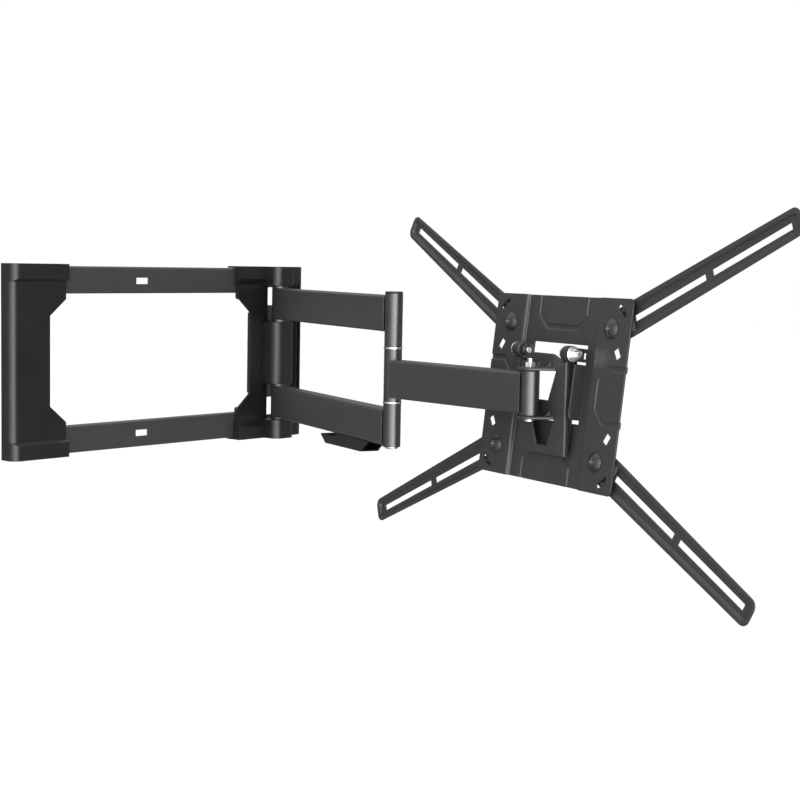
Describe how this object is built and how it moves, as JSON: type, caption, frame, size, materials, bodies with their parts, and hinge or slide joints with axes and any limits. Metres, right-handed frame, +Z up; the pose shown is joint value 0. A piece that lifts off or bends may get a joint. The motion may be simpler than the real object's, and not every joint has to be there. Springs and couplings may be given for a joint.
{
  "type": "full motion tv wall mount",
  "caption": "Articulated wall mount: wall frame with end covers, hinged twin arm, forearm, swivel head and tilting screen plate with slotted swing-out arms.",
  "frame": {"origin": "centre of the wall frame's four lag screw holes, on the wall plane", "axes": "+X right along the wall, +Y into the wall, +Z up"},
  "size_m": [0.465, 0.8781, 0.3601],
  "materials": {
    "powder_coat": "fine satin powder coat, charcoal black",
    "tube_satin": "smooth satin black paint",
    "cover_plastic": "black moulded plastic, semi gloss",
    "zinc_steel": "bright zinc plate",
    "black_steel": "blackened steel",
    "bearing_plastic": "matte nylon"
  },
  "bodies": {
    "wall_frame": {"wall_rail_top": "powder_coat", "wall_rail_bottom": "powder_coat", "left_upright": "powder_coat", "hinge_bracket": "powder_coat", "left_cover": "cover_plastic", "right_cover": "cover_plastic", "hinge_top_cap": "cover_plastic", "hinge_bottom_cap": "cover_plastic", "hinge_center_cover": "cover_plastic", "hinge_pin": "zinc_steel", "hinge_nut": "zinc_steel", "hinge_washers": "bearing_plastic"},
    "inner_arm": {"hinge_tube": "tube_satin", "hinge_bushes": "bearing_plastic", "upper_arm": "powder_coat", "lower_arm": "powder_coat", "elbow_top_tube": "tube_satin", "elbow_bottom_tube": "tube_satin", "elbow_sleeves": "bearing_plastic", "elbow_washers": "zinc_steel", "elbow_pin": "zinc_steel", "elbow_top_cap": "cover_plastic", "elbow_bottom_cap": "zinc_steel", "cable_clip": "cover_plastic"},
    "forearm": {"forearm_tube": "powder_coat", "elbow_middle_tube": "tube_satin", "elbow_bushes": "bearing_plastic", "head_tube": "tube_satin", "head_bushes": "bearing_plastic"},
    "swivel_head": {"swivel_bracket": "powder_coat", "head_bolt": "zinc_steel", "head_nut": "zinc_steel", "head_washers": "bearing_plastic", "tilt_bolt_right": "zinc_steel", "tilt_bolt_left": "zinc_steel", "tilt_nut_right": "zinc_steel", "tilt_nut_left": "black_steel", "tilt_discs": "bearing_plastic", "tilt_washers": "zinc_steel"},
    "screen_plate": {"vesa_plate": "powder_coat", "arm_screws": "black_steel", "arm_washers": "bearing_plastic", "arm_nuts": "zinc_steel"},
    "upper_right_arm": {"vesa_arm_upper_right": "powder_coat"},
    "upper_left_arm": {"vesa_arm_upper_left": "powder_coat"},
    "lower_left_arm": {"vesa_arm_lower_left": "powder_coat"},
    "lower_right_arm": {"vesa_arm_lower_right": "powder_coat"}
  },
  "joints": [
    {"name": "wall_hinge", "type": "hinge", "parent": "wall_frame", "child": "inner_arm", "pos_m": [0.175, -0.032, 0], "axis": [0, 0, 1], "range_deg": [-67, 113]},
    {"name": "elbow_hinge", "type": "hinge", "parent": "inner_arm", "child": "forearm", "pos_m": [0.04138, -0.34573, 0], "axis": [0, 0, -1], "range_deg": [-97, 115]},
    {"name": "head_swivel", "type": "hinge", "parent": "forearm", "child": "swivel_head", "pos_m": [0.00993, -0.55741, 0], "axis": [0, 0, 1], "range_deg": [-170, 9.5]},
    {"name": "screen_tilt", "type": "hinge", "parent": "swivel_head", "child": "screen_plate", "pos_m": [0.02666, -0.56288, 0.033], "axis": [-0.3112, -0.9504, 0], "range_deg": [-1, 12]},
    {"name": "upper_right_swing", "type": "hinge", "parent": "screen_plate", "child": "upper_right_arm", "pos_m": [0.02045, -0.6505, 0.05925], "axis": [0.9436, -0.309, -0.1188], "range_deg": [-12, 12]},
    {"name": "upper_left_swing", "type": "hinge", "parent": "screen_plate", "child": "upper_left_arm", "pos_m": [0.07348, -0.48856, 0.05925], "axis": [-0.9436, 0.309, 0.1188], "range_deg": [-12, 12]},
    {"name": "lower_left_swing", "type": "hinge", "parent": "screen_plate", "child": "lower_left_arm", "pos_m": [0.05867, -0.48371, -0.07102], "axis": [0.9436, -0.309, -0.1188], "range_deg": [-12, 12]},
    {"name": "lower_right_swing", "type": "hinge", "parent": "screen_plate", "child": "lower_right_arm", "pos_m": [0.00565, -0.64565, -0.07102], "axis": [-0.9436, 0.309, 0.1188], "range_deg": [-12, 12]}
  ]
}
